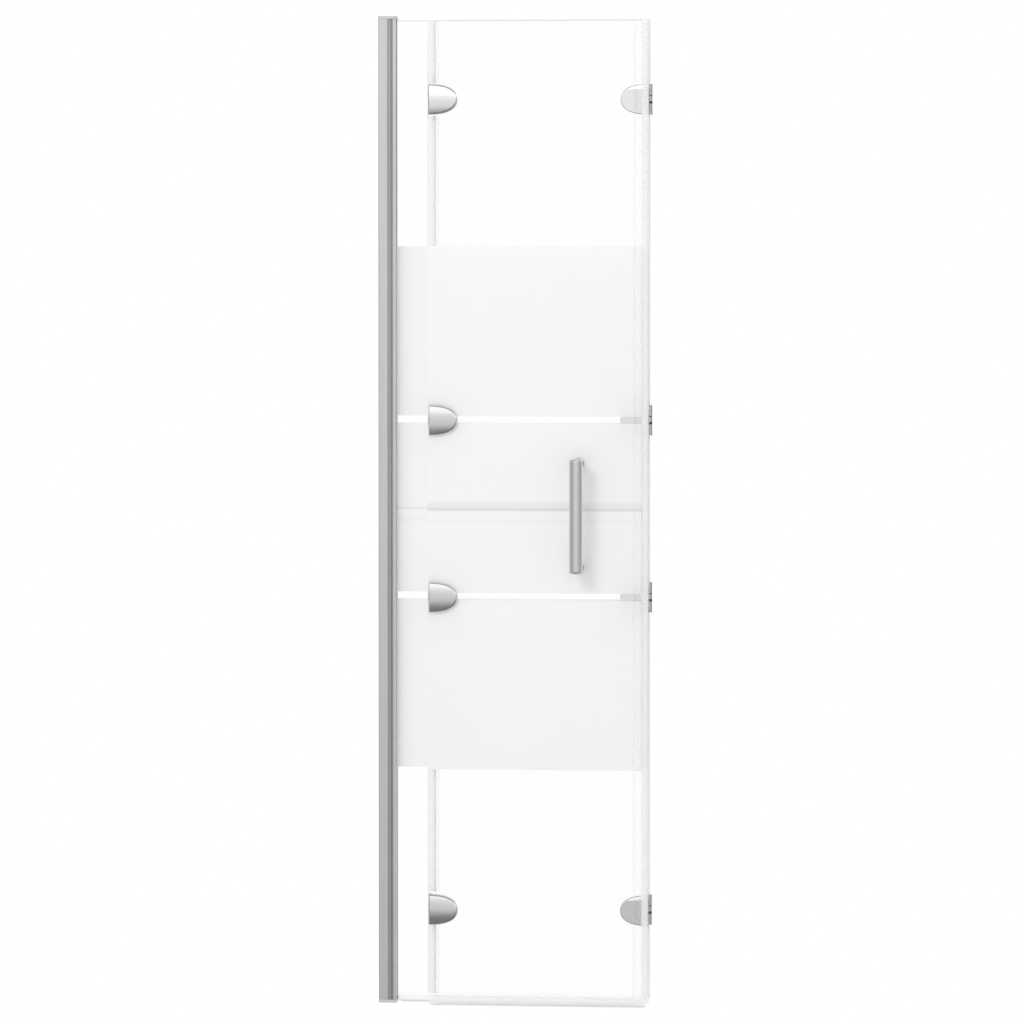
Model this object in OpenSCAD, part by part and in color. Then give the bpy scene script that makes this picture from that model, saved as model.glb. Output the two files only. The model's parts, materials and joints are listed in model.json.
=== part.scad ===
// Folding bath screen: a fixed glass panel in a wall profile, and two more panels that fold
// flat in front of it on two rows of offset hinges. It is drawn folded away.
// X runs from the wall along the bath, -Y is the room side and Z is up. The origin lies on
// the wall's surface, midway between the wall screws.

/* [Overall] */
// Height from the bath rim to the top of the wall profile
screen_h = 1400; // [1100:1:1800]
// Distance from the wall to the inner fold
inner_fold_x = 76.4; // [70:0.1:120]
// Distance between the two folds, which is the middle panel's width
fold_w = 310; // [240:1:460]
// Width of the last panel, from its fold to the end of its edge seal
last_w = 310.4; // [240:0.1:460]

/* [Glass] */
// Thickness of the glass
glass_t = 5; // [4:0.5:8]
// Height of the glass edge above the bath rim
glass_foot = 9; // [7:0.5:20]
// Distance from the top of the wall profile down to the glass edge
glass_top_gap = 6; // [5:0.5:20]
// Gap from the outer fold to the fixed panel's glass edge
near_edge = 1.5; // [1:0.1:4]
// How far the last panel's glass reaches past the inner fold
last_over = 2.6; // [0:0.1:3]
// Gap from a fold to the glass edges of the middle panel, which carry the fold seals
far_edge = 6.2; // [4:0.1:9]
// Distance from the top of the profile down to the frosted field
field_top_gap = 325; // [200:0.5:400]
// Height of the frosted field's lower edge above the bath rim
field_foot = 333.8; // [200:0.1:450]
// Height of the two clear stripes that divide the frosted field
stripe_h = 9.5; // [4:0.5:20]

/* [Wall profile] */
// Depth of the wall channel
channel_d = 30; // [26:0.5:40]
// Width of the wall channel's legs, out from the wall
channel_w = 13.4; // [11:0.1:18]
// Thickness of the channel's web on the wall
web_t = 2; // [1.5:0.1:3]
// Thickness of the channel's legs
leg_t = 1.6; // [1.2:0.1:2.5]
// Depth of the glazing profile's head
head_d = 25; // [22:0.5:34]
// Distance from the wall to the front of the glazing profile
profile_w = 24.4; // [22:0.1:34]
// Thickness of the gaskets on each side of the glass
gasket_t = 2.8; // [1.5:0.1:4]
// Thickness of the end caps
cap_t = 4; // [2.5:0.5:8]
// How far the end caps stand proud of the profile
cap_lip = 0.8; // [0.3:0.1:2]
// Radius of the wall screw holes
wall_hole_r = 2.6; // [2:0.1:4]
// Distance between the two outer wall screws
outer_hole_pitch = 1200; // [600:1:1280]
// Distance between the two inner wall screws
inner_hole_pitch = 400; // [150:1:500]

/* [Hinges] */
// Width of a hinge plate along the panel
plate_w = 40.4; // [32:0.1:60]
// Height of a hinge plate
plate_h = 43.6; // [36:0.1:60]
// Thickness of a clamp plate at its thickest
clamp_t = 6.6; // [5:0.1:10]
// How far a domed plate falls away towards its upper and lower edge
dome_drop = 1.4; // [0.5:0.1:3.5]
// Height of the sloping band along the top of a flat plate
slope_h = 7; // [2:0.5:12]
// How far that band falls away
slope_drop = 1.6; // [0.4:0.1:3]
// How much smaller the leaves are than the plates that show
leaf_trim = 2.4; // [0:0.1:5]
// How much smaller the plates behind are than those that show
back_trim = 4.4; // [0:0.1:6]
// Distance between the middle planes of folded panels
panel_pitch = 20; // [18:0.5:30]
// Radius of the hinge knuckles
knuckle_r = 3; // [2.5:0.1:4.5]
// Radius of the hinge pins
pin_r = 1.5; // [1:0.1:2.5]
// Height of the fixed leaf's upper and lower knuckles
outer_knuckle_h = 15.7; // [10:0.1:20]
// Height of the black thrust washer under the moving knuckle
thrust_h = 3.1; // [1:0.1:5]
// Height of the thin washer over the moving knuckle
washer_h = 1; // [0.5:0.1:3]
// Height of the lowest hinge above the bath rim
low_hinge_h = 136.5; // [90:0.5:250]
// Distance from the top of the profile down to the highest hinge
high_hinge_gap = 118.5; // [80:0.5:250]
// Radius of the hinge screws
screw_r = 2.4; // [1.5:0.1:3]
// Distance of the hinge screws from the fold
screw_u = 27; // [20:0.5:40]
// Height of the hinge screws above and below the plate's middle
screw_dz = 7; // [4:0.5:12]
// Thickness of the gasket between a hinge plate and the glass
hinge_gasket_t = 0.5; // [0.3:0.1:1.5]

/* [Seals] */
// Wall thickness of the seals
seal_t = 1.1; // [0.8:0.1:2]
// Width of the edge seal's hollow bulb, beyond the glass
bulb_w = 9; // [6:0.1:14]
// Length of the edge seal's legs on the glass
edge_leg = 12.4; // [8:0.1:18]
// Length of the fold seals' legs on the glass
fold_leg = 4.9; // [4:0.1:10]
// How far the inner fold seal's lip reaches past the fold
lip_reach = 5.7; // [4:0.1:9]
// Height of the bottom seals' legs on the glass
foot_leg = 5.5; // [4:0.1:12]
// Gap from the bath rim to the bottom seals
foot_gap = 0.5; // [0.3:0.1:3]
// Radius of the bottom seals' lower corners
foot_corner_r = 8; // [3:0.5:8]

/* [Handle] */
// Length of the handle bar
bar_h = 161.3; // [120:0.1:260]
// Radius of the handle bar
bar_r = 10; // [8:0.1:16]
// Rounding of the bar's ends
bar_round = 3; // [1:0.5:6]
// Distance from the glass to the middle of the bar
bar_reach = 39.5; // [30:0.5:60]
// Distance between the two posts
post_pitch = 147; // [90:1:200]
// Radius of the posts
post_r = 6.8; // [5:0.1:7.5]
// Radius of the posts' flanges on the glass
flange_r = 7.5; // [7.5:0.1:14]
// Height of the handle's middle above the bath rim
handle_h = 695.7; // [500:0.1:900]
// Distance from the handle to the free edge of the glass
handle_edge = 89.3; // [60:0.1:140]

/* [Hidden] */
$fn = 64;

// Clearances: between bodies that move apart, of a pin or screw in its hole, of a knuckle
// against its washers, between pieces that are only pushed together, and from a fold seal's
// nose to the next panel's glass when the fold is open
swing_gap = 0.25;
hole_gap = 0.05;
washer_gap = 0.15;
seat_gap = 0.3;
nose_gap = 0.4;

// Heights above the bath rim
profile_top = screen_h - cap_t;
glass_top = screen_h - glass_top_gap;
leg_top = glass_foot + foot_leg;
field_top = screen_h - field_top_gap;
band_h = (field_top - field_foot - 2 * stripe_h) / 3;
stripe_step = band_h + stripe_h;
low_stripe = field_foot + band_h + stripe_h / 2;
hinge_z = [screen_h - high_hinge_gap, low_stripe + stripe_step, low_stripe, low_hinge_h];

// The folds and the panels' middle planes
outer_fold_x = inner_fold_x + fold_w;
half_pitch = panel_pitch / 2;
middle_y = -panel_pitch;
last_y = -2 * panel_pitch;
glass_half = glass_t / 2;

// The panels' glass edges
pocket_floor = profile_w - 9.9;
fixed_glass_x = [pocket_floor + 1.5, outer_fold_x - near_edge];
middle_glass_x = [inner_fold_x + far_edge, outer_fold_x - far_edge];
last_glass_x = [inner_fold_x - last_over, inner_fold_x + last_w - bulb_w];
handle_x = last_glass_x[1] - handle_edge;

// Hinge plates, measured from the fold across the panel: the leaf lies between the fold and
// the glass, and the clamp plate on the glass's far side
leaf_out = half_pitch - glass_half - hinge_gasket_t;
clamp_in = half_pitch + glass_half + hinge_gasket_t;
barrel_h = plate_h - 0.6;
knuckle_top = barrel_h / 2 - outer_knuckle_h;
knuckle_foot = outer_knuckle_h - barrel_h / 2;
moving_foot = knuckle_foot + thrust_h;
moving_top = knuckle_top - washer_h;
dome_r = (plate_h * plate_h / 4 + dome_drop * dome_drop) / (2 * dome_drop);
head_r = 2 * screw_r;
screw_skin = 1.2;
point_end = clamp_in + clamp_t - 2;

// Holes in the glass, wider than the screws that pass through
glass_hole_r = screw_r + 1.2;
handle_hole_r = 5;

// Seals: height of the solid web under the glass, rounding of the bulb, and how far the
// inner fold seal's lip stands off its leg
seal_web_h = 6;
bulb_round = 2.6;
lip_lift = 0.6;

// Wall profile
arm_y = channel_d / 2 - leg_t - 0.5;
arm_t = 1.5;
arm_x = 5;
floor_t = 1.6;
rib_x = [channel_w + 2.1, channel_w + 4.3];
head_x = rib_x[1] + 2.1;
pocket_y = glass_half + gasket_t;
clamp_x = channel_w * 0.6;
clamp_z = [160, screen_h / 2, screen_h - 160];
clamp_r = 1.75;
clamp_head_r = 3.4;
clamp_head_h = 2;
cup_r = 4.8;
cup_h = 3.4;
cup_skin = 1.2;

// Rounded corners of the wall channel, the glazing profile's head and the end caps
wall_corner_r = 1.6;
lip_corner_r = 0.7;
head_corner_r = 1;
cap_corner_r = 3;
cap_wall_corner_r = 1;

// Pegs that hold the end caps in the profile
peg = [5, 8, 8];
peg_in_cap = 0.5;

// ---- Outlines ----

function arc(c, r, from, to, n = 5) =
    [for (i = [0:n]) c + r * [cos(from + (to - from) * i / n), sin(from + (to - from) * i / n)]];

// A rectangle from corner a to corner b, with rounded corners
function rounded(a, b, r) = concat(
    arc([b.x - r, b.y - r], r, 0, 90), arc([a.x + r, b.y - r], r, 90, 180),
    arc([a.x + r, a.y + r], r, 180, 270), arc([b.x - r, a.y + r], r, 270, 360));

// Half an oval a little fuller than an ellipse, with its straight side on the fold
fullness = 0.85;
function full(share) = sign(share) * pow(abs(share), fullness);
function half_oval(w, h, start) = [for (i = [0:32])
    let (a = -90 + 180 * i / 32) [start + (w - start) * full(cos(a)), h / 2 * full(sin(a))]];

// ---- Placing ----

// From heights above the bath rim to the origin midway between the wall screws
module on_rim() translate([0, 0, -screen_h / 2]) children();

// A hinge part drawn with u along the panel, w across it from the fold, and z up.
// fold is "outer" or "inner", and side is the panel behind (1) or in front (-1) of the fold.
module at_fold(fold, side) {
    x = fold == "outer" ? outer_fold_x : inner_fold_x;
    y = fold == "outer" ? -half_pitch : -3 * half_pitch;
    translate([x, y, 0]) scale_mirror(fold == "outer" ? -1 : 1, side) children();
}

module scale_mirror(u_way, w_way)
    mirror([u_way < 0 ? 1 : 0, 0, 0]) mirror([0, w_way < 0 ? 1 : 0, 0]) children();

// A block from w0 to w1 across the panel, with the given outline in u and z
module slab(outline, w0, w1)
    translate([0, w1, 0]) rotate([90, 0, 0]) linear_extrude(w1 - w0) polygon(outline);

// A round bar across the panel
module across(u, z, r, w0, w1) translate([u, w0, z]) rotate([-90, 0, 0]) cylinder(h = w1 - w0, r = r);

// ---- Wall profile ----

module wall_channel() color("silver") on_rim() {
    leg_in = channel_d / 2 - leg_t;
    difference() {
        translate([0, 0, cap_t]) linear_extrude(profile_top - cap_t)
            polygon(concat(
                arc([channel_w - lip_corner_r, channel_d / 2 - lip_corner_r], lip_corner_r, 0, 90, 3),
                arc([wall_corner_r, channel_d / 2 - wall_corner_r], wall_corner_r, 90, 180, 4),
                arc([wall_corner_r, wall_corner_r - channel_d / 2], wall_corner_r, 180, 270, 4),
                arc([channel_w - lip_corner_r, lip_corner_r - channel_d / 2], lip_corner_r, 270, 360, 3),
                [[channel_w, -leg_in], [web_t, -leg_in], [web_t, leg_in], [channel_w, leg_in]]));
        for (pitch = [outer_hole_pitch, inner_hole_pitch], s = [-1, 1])
            translate([-1, 0, (screen_h + s * pitch) / 2]) rotate([0, 90, 0])
                cylinder(h = web_t + 2, r = wall_hole_r);
        for (z = clamp_z)
            translate([clamp_x, leg_in - 1, z]) rotate([-90, 0, 0])
                cylinder(h = leg_t + 2, r = clamp_r + hole_gap);
    }
}

// It slides in the wall channel, and its pocket holds the fixed glass
module glazing_profile() color("silver") on_rim() {
    rib_y = channel_d / 2 - 1.2;
    head_y = head_d / 2;
    groove_y = head_y - 3;
    difference() {
        translate([0, 0, cap_t]) linear_extrude(profile_top - cap_t) difference() {
            union() {
                for (y = [-arm_y, arm_y - arm_t])
                    translate([arm_x, y]) square([rib_x[1] - arm_x - 0.5, arm_t]);
                translate([rib_x[0], -rib_y]) square([rib_x[1] - rib_x[0], 2 * rib_y]);
                translate([pocket_floor - floor_t, -groove_y])
                    square([head_x + 1 - pocket_floor + floor_t, 2 * groove_y]);
                polygon(rounded([head_x, -head_y], [profile_w, head_y], head_corner_r));
            }
            translate([pocket_floor, -pocket_y]) square([profile_w, 2 * pocket_y]);
        }
        for (z = clamp_z)
            translate([clamp_x, arm_y - arm_t - 1, z]) rotate([-90, 0, 0])
                cylinder(h = arm_t + 2, r = clamp_r + hole_gap);
    }
}

module end_cap(z, peg_way) on_rim() {
    far_x = profile_w + cap_lip;
    half = channel_d / 2 + cap_lip;
    translate([0, 0, z]) linear_extrude(cap_t)
        polygon(concat(
            arc([far_x - cap_corner_r, half - cap_corner_r], cap_corner_r, 0, 90),
            arc([cap_wall_corner_r, half - cap_wall_corner_r], cap_wall_corner_r, 90, 180, 3),
            arc([cap_wall_corner_r, cap_wall_corner_r - half], cap_wall_corner_r, 180, 270, 3),
            arc([far_x - cap_corner_r, cap_corner_r - half], cap_corner_r, 270, 360)));
    // The peg lies between the channel's web and the glass pocket
    translate([web_t + 1, -peg.y / 2, peg_way > 0 ? z + cap_t - peg_in_cap : z - peg.z + peg_in_cap])
        cube(peg);
}

module top_end_cap() color("gainsboro") end_cap(profile_top, -1);
module bottom_end_cap() color("gainsboro") end_cap(0, 1);

// They lock the glazing profile in the channel, from the bath side
module clamp_screws() color("darkgray") on_rim() for (z = clamp_z)
    translate([clamp_x, channel_d / 2, z]) rotate([90, 0, 0]) {
        cylinder(h = 7, r = clamp_r);
        translate([0, 0, -clamp_head_h]) difference() {
            cylinder(h = clamp_head_h, r = clamp_head_r);
            translate([-2.6, -0.4, -1]) cube([5.2, 0.8, 1.8]);
        }
    }

module screw_caps() color("gainsboro") on_rim() for (z = clamp_z)
    translate([clamp_x, channel_d / 2, z]) rotate([-90, 0, 0]) difference() {
        cylinder(h = cup_h, r = cup_r);
        translate([0, 0, -1]) cylinder(h = cup_h - cup_skin + 1, r = cup_r - cup_skin);
    }

module glazing_gasket(side) on_rim()
    translate([pocket_floor + 0.4, side > 0 ? glass_half : -pocket_y, glass_foot])
        cube([profile_w - pocket_floor - 0.4, gasket_t, glass_top - glass_foot]);

module outer_glazing_gasket() color("dimgray") glazing_gasket(-1);
module inner_glazing_gasket() color("dimgray") glazing_gasket(1);

// ---- Glass ----

module pane(x, y, folds) on_rim() difference() {
    translate([x[0], y - glass_half, glass_foot])
        cube([x[1] - x[0], glass_t, glass_top - glass_foot]);
    for (f = folds, z = hinge_z, s = [-1, 1])
        translate([f == "outer" ? outer_fold_x - screw_u : inner_fold_x + screw_u,
            y - glass_t, z + s * screw_dz]) rotate([-90, 0, 0]) cylinder(h = 2 * glass_t, r = glass_hole_r);
    if (y == last_y)
        for (s = [-1, 1])
            translate([handle_x, y - glass_t, handle_h + s * post_pitch / 2])
                rotate([-90, 0, 0]) cylinder(h = 2 * glass_t, r = handle_hole_r);
}

module fixed_glass() color("lightcyan", 0.5) pane(fixed_glass_x, 0, ["outer"]);
module middle_glass() color("lightcyan", 0.5) pane(middle_glass_x, middle_y, ["outer", "inner"]);
module last_glass() color("lightcyan", 0.5) pane(last_glass_x, last_y, ["inner"]);

// ---- Seals ----

// A channel on the glass's lower edge with two wiper lips, and its lower corners rounded
module bottom_seal(x, y) on_rim() {
    half = glass_half + seal_t;
    intersection() {
        translate([x[0], y, 0]) rotate([90, 0, 90]) linear_extrude(x[1] - x[0]) polygon([
            [-half, leg_top], [-half, foot_gap], [-half + seal_t, foot_gap],
            [-half + seal_t, glass_foot - seal_web_h], [half - seal_t, glass_foot - seal_web_h],
            [half - seal_t, foot_gap], [half, foot_gap], [half, leg_top],
            [glass_half, leg_top], [glass_half, glass_foot], [-glass_half, glass_foot],
            [-glass_half, leg_top]]);
        translate([0, y + 10, 0]) rotate([90, 0, 0]) linear_extrude(20)
            polygon(concat([[x[1], leg_top], [x[0], leg_top]],
                arc([x[0] + foot_corner_r, foot_gap + foot_corner_r], foot_corner_r, 180, 270),
                arc([x[1] - foot_corner_r, foot_gap + foot_corner_r], foot_corner_r, 270, 360)));
    }
}

module fixed_bottom_seal() color("whitesmoke")
    bottom_seal([profile_w + cap_lip + 0.4, fixed_glass_x[1]], 0);
module middle_bottom_seal() color("whitesmoke") bottom_seal(middle_glass_x, middle_y);
module last_bottom_seal() color("whitesmoke")
    bottom_seal([last_glass_x[0], inner_fold_x + last_w], last_y);

// Stretches of a fold seal, from the bottom up, that leave room for the hinges
function seal_stops(foot) = let (room = plate_h / 2 + 1.2) [
    [foot, hinge_z[3] - room], [hinge_z[3] + room, hinge_z[2] - room],
    [hinge_z[2] + room, hinge_z[1] - room], [hinge_z[1] + room, hinge_z[0] - room],
    [hinge_z[0] + room, glass_top]];

// Drawn as a hinge part is: u from the fold, w across the panel. tip is where its round nose
// ends, and a lip reaches past the fold on the glass's far side if lipped is true.
module fold_seal(tip, lipped) {
    body = glass_half - 0.4;
    leg_end = far_edge + fold_leg;
    outline = concat(
        [[leg_end, -glass_half], [far_edge, -glass_half], [far_edge, glass_half],
            [leg_end, glass_half], [leg_end, glass_half + seal_t],
            [tip + body + 1, glass_half + seal_t]],
        arc([tip + body, 0], body, 90, 270, 8),
        [[tip + body + 1, -glass_half - seal_t], [leg_end, -glass_half - seal_t]]);
    for (stop = seal_stops(leg_top + seat_gap))
        translate([0, half_pitch, stop[0]]) linear_extrude(stop[1] - stop[0]) union() {
            polygon(outline);
            if (lipped)
                translate([-lip_reach, glass_half + lip_lift]) square([lip_reach + leg_end, seal_t]);
        }
}

module outer_fold_seal() color("whitesmoke") on_rim()
    at_fold("outer", -1) fold_seal(nose_gap - near_edge, false);
module inner_fold_seal() color("whitesmoke") on_rim()
    at_fold("inner", 1) fold_seal(last_over + nose_gap, true);

module free_edge_seal() color("whitesmoke") on_rim()
    translate([last_glass_x[1], last_y, leg_top + seat_gap])
        linear_extrude(glass_top - leg_top - seat_gap) {
            bulb_y = glass_half + seal_t + 0.5;
            difference() {
                polygon(rounded([0, -bulb_y], [bulb_w, bulb_y], bulb_round));
                polygon(rounded([seal_t, seal_t - bulb_y], [bulb_w - seal_t, bulb_y - seal_t],
                    bulb_round - seal_t));
            }
            for (s = [-1, 1])
                translate([-edge_leg, s * glass_half - (s < 0 ? seal_t : 0)])
                    square([edge_leg + seal_t + 0.4, seal_t]);
        }

// ---- Hinges ----

// Screw holes in a plate. open_w is the face where the screw enters.
module hinge_holes(w0, w1, open_w, z) for (s = [-1, 1]) {
    across(screw_u, z + s * screw_dz, screw_r + hole_gap, w0, w1);
    if (!is_undef(open_w)) {
        inward = open_w < half_pitch ? 1 : -1;
        translate([screw_u, open_w, z + s * screw_dz]) rotate([-90 * inward, 0, 0])
            translate([0, 0, -0.01])
                cylinder(h = head_r - screw_r, r1 = head_r + hole_gap, r2 = screw_r + hole_gap);
    }
}

// The hinge half beside the fold. knuckles lists the heights of its own knuckles, and
// relief those where the other half's knuckles turn.
module leaf(z, knuckles, relief, screws_enter) difference() {
    union() {
        translate([0, 0, z])
            slab(half_oval(plate_w - leaf_trim, plate_h - leaf_trim, swing_gap), swing_gap, leaf_out);
        for (k = knuckles) translate([0, 0, z + k[0]]) cylinder(h = k[1] - k[0], r = knuckle_r);
    }
    for (k = relief) translate([0, 0, z + k[0]])
        cylinder(h = k[1] - k[0], r = knuckle_r + swing_gap + 0.1);
    translate([0, 0, z - plate_h]) cylinder(h = 2 * plate_h, r = pin_r + hole_gap);
    if (screws_enter) hinge_holes(0, leaf_out + 1, swing_gap, z);
    else hinge_holes(swing_gap + screw_skin, leaf_out + 1, undef, z);
}

module fixed_leaf(z, screws_enter) leaf(z,
    [[-barrel_h / 2, knuckle_foot], [knuckle_top, barrel_h / 2]],
    [[knuckle_foot, knuckle_top]], screws_enter);

module moving_leaf(z, screws_enter) leaf(z,
    [[moving_foot + washer_gap, moving_top - washer_gap]],
    [[-plate_h, moving_foot + washer_gap], [moving_top - washer_gap, plate_h]], screws_enter);

// A plate on the other side of the glass. The ones that show take the screws' points.
module domed_plate(z) difference() {
    intersection() {
        translate([0, 0, z])
            slab(half_oval(plate_w, plate_h, swing_gap), clamp_in, clamp_in + clamp_t);
        translate([-1, clamp_in + clamp_t - dome_r, z]) rotate([0, 90, 0])
            cylinder(h = plate_w + 2, r = dome_r, $fn = 256);
    }
    hinge_holes(clamp_in - 1, point_end, undef, z);
}

module sloped_plate(z) difference() {
    translate([0, 0, z])
        slab(half_oval(plate_w, plate_h, swing_gap), clamp_in, clamp_in + clamp_t);
    translate([-1, 0, z]) rotate([90, 0, 90]) linear_extrude(plate_w + 2) polygon([
        [clamp_in + clamp_t, plate_h / 2 - slope_h], [clamp_in + clamp_t + 1, plate_h / 2 - slope_h],
        [clamp_in + clamp_t + 1, plate_h / 2 + 1], [clamp_in + clamp_t - slope_drop, plate_h / 2 + 1]]);
    hinge_holes(clamp_in - 1, point_end, undef, z);
}

// The plate behind, with countersunk holes where heads is true
module rear_plate(z, heads) difference() {
    translate([0, 0, z]) slab(half_oval(plate_w - back_trim, plate_h - back_trim, swing_gap),
        clamp_in, clamp_in + clamp_t);
    hinge_holes(clamp_in - 1, heads ? clamp_in + clamp_t + 1 : point_end,
        heads ? clamp_in + clamp_t : undef, z);
}

module hinge_screw(z, from_leaf) for (s = [-1, 1]) {
    head_h = head_r - screw_r;
    start = from_leaf ? swing_gap + 0.1 : clamp_in + clamp_t - 0.1;
    way = from_leaf ? 1 : -1;
    length = clamp_in - leaf_out + (from_leaf ? leaf_out - start : start - clamp_in) + 3.6;
    translate([screw_u, start, z + s * screw_dz]) rotate([-90 * way, 0, 0]) difference() {
        union() {
            cylinder(h = length, r = screw_r);
            cylinder(h = head_h - 0.1, r1 = head_r - 0.1, r2 = screw_r);
        }
        translate([0, 0, -1]) cylinder(h = 2.2, r = 1.5, $fn = 6);
    }
}

// The two thin sheets that keep a hinge's plates off the glass
module hinge_gasket(z, edge) for (w = [leaf_out, clamp_in - hinge_gasket_t]) difference() {
    translate([0, 0, z]) intersection() {
        slab(half_oval(plate_w - back_trim - 0.8, plate_h - back_trim - 0.8, swing_gap),
            w, w + hinge_gasket_t);
        translate([edge, w - 1, -plate_h]) cube([plate_w, hinge_gasket_t + 2, 2 * plate_h]);
    }
    hinge_holes(w - 1, w + 2, undef, z);
}

module hinge_pin(z) translate([0, 0, z - barrel_h / 2]) cylinder(h = barrel_h, r = pin_r);

module hinge_washer_pair(z) for (k = [[knuckle_foot, moving_foot], [moving_top, knuckle_top]])
    translate([0, 0, z + k[0]]) difference() {
        cylinder(h = k[1] - k[0], r = knuckle_r);
        translate([0, 0, -1]) cylinder(h = k[1] - k[0] + 2, r = pin_r + hole_gap);
    }

// The outer fold: its knuckles lie on the room side of the glass
module outer_fixed_leaf(i) color("lightgray") on_rim() at_fold("outer", 1) fixed_leaf(hinge_z[i], false);
module outer_moving_leaf(i) color("lightgray") on_rim() at_fold("outer", -1) moving_leaf(hinge_z[i], true);
// The inner fold: its knuckles lie on the bath side of the glass
module inner_fixed_leaf(i) color("lightgray") on_rim() at_fold("inner", 1) fixed_leaf(hinge_z[i], true);
module inner_moving_leaf(i) color("lightgray") on_rim() at_fold("inner", -1) moving_leaf(hinge_z[i], true);

module fixed_clamp_plates() color("lightgray") on_rim()
    at_fold("outer", 1) for (z = hinge_z) rear_plate(z, true);
module middle_back_plate(i) color("lightgray") on_rim() at_fold("outer", -1) sloped_plate(hinge_z[i]);
module middle_clamp_plates() color("lightgray") on_rim()
    at_fold("inner", 1) for (z = hinge_z) rear_plate(z, false);
module last_cover_plate(i) color("lightgray") on_rim() at_fold("inner", -1) domed_plate(hinge_z[i]);

module outer_hinge_pins() color("gray") on_rim() at_fold("outer", 1) for (z = hinge_z) hinge_pin(z);
module inner_hinge_pins() color("gray") on_rim() at_fold("inner", 1) for (z = hinge_z) hinge_pin(z);
module outer_hinge_washers() color("black") on_rim()
    at_fold("outer", 1) for (z = hinge_z) hinge_washer_pair(z);
module inner_hinge_washers() color("black") on_rim()
    at_fold("inner", 1) for (z = hinge_z) hinge_washer_pair(z);

module fixed_hinge_screws() color("darkgray") on_rim()
    at_fold("outer", 1) for (z = hinge_z) hinge_screw(z, false);
module middle_hinge_screws() color("darkgray") on_rim() {
    at_fold("outer", -1) for (z = hinge_z) hinge_screw(z, true);
    at_fold("inner", 1) for (z = hinge_z) hinge_screw(z, true);
}
module last_hinge_screws() color("darkgray") on_rim()
    at_fold("inner", -1) for (z = hinge_z) hinge_screw(z, true);

module fixed_hinge_gaskets() color("white") on_rim()
    at_fold("outer", 1) for (z = hinge_z) hinge_gasket(z, near_edge);
module middle_hinge_gaskets() color("white") on_rim() {
    at_fold("outer", -1) for (z = hinge_z) hinge_gasket(z, far_edge);
    at_fold("inner", 1) for (z = hinge_z) hinge_gasket(z, far_edge);
}
module last_hinge_gaskets() color("white") on_rim()
    at_fold("inner", -1) for (z = hinge_z) hinge_gasket(z, near_edge);

// ---- Handle ----

handle_gasket_t = 0.8;
disc_t = 3.6;
spigot_r = post_r - 1.6;
spigot_h = 4;
handle_screw_r = 3;

// Drawn with y = 0 on the last panel's room-side face, and -y towards the room
module at_post(s) translate([handle_x, last_y - glass_half, handle_h + s * post_pitch / 2])
    rotate([90, 0, 0]) children();

module handle_bar() color("silver") on_rim() difference() {
    translate([handle_x, last_y - glass_half - bar_reach, handle_h - bar_h / 2])
        rotate_extrude() polygon(concat([[0, 0]],
            arc([bar_r - bar_round, bar_round], bar_round, -90, 0),
            arc([bar_r - bar_round, bar_h - bar_round], bar_round, 0, 90), [[0, bar_h]]));
    for (s = [-1, 1]) at_post(s)
        translate([0, 0, bar_reach - bar_r - 1]) cylinder(h = spigot_h + 1.2, r = spigot_r + hole_gap);
}

module handle_post(s) on_rim() difference() {
    union() {
        at_post(s) translate([0, 0, handle_gasket_t]) {
            cylinder(h = 3, r = flange_r);
            difference() {
                cylinder(h = bar_reach - 2, r = post_r);
                translate([0, 0, bar_reach - handle_gasket_t]) rotate([90, 0, 0])
                    cylinder(h = 4 * post_r, r = bar_r + 0.12, center = true);
            }
            cylinder(h = bar_reach - bar_r + spigot_h - handle_gasket_t, r = spigot_r);
        }
    }
    at_post(s) cylinder(h = 16, r = handle_screw_r + hole_gap);
}

module upper_handle_post() color("silver") handle_post(1);
module lower_handle_post() color("silver") handle_post(-1);

module handle_gaskets() color("white") on_rim() for (s = [-1, 1], z = [0, -glass_t - handle_gasket_t])
    at_post(s) translate([0, 0, z]) difference() {
        cylinder(h = handle_gasket_t, r = flange_r - 0.5);
        translate([0, 0, -1]) cylinder(h = 3, r = 4.5);
    }

module handle_screws() color("darkgray") on_rim() for (s = [-1, 1])
    at_post(s) translate([0, 0, -glass_t - handle_gasket_t - disc_t + 0.4]) difference() {
        union() {
            cylinder(h = glass_t + disc_t + 14, r = handle_screw_r);
            cylinder(h = handle_screw_r - 0.6, r1 = 2 * handle_screw_r - 0.6, r2 = handle_screw_r);
        }
        translate([0, 0, -1]) cylinder(h = 3, r = 2, $fn = 6);
    }

// Round discs that take the screws' pull on the bath side of the glass
module handle_backing_discs() color("silver") on_rim() for (s = [-1, 1])
    at_post(s) translate([0, 0, -glass_t - handle_gasket_t - disc_t]) difference() {
        cylinder(h = disc_t, r = flange_r);
        translate([0, 0, -1]) cylinder(h = disc_t + 2, r = handle_screw_r + hole_gap);
        translate([0, 0, 0.3]) cylinder(h = handle_screw_r - 0.4, r1 = 2 * handle_screw_r - 0.4,
            r2 = handle_screw_r + hole_gap);
        translate([0, 0, -1]) cylinder(h = 1.31, r = 2 * handle_screw_r - 0.4);
    }

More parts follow.
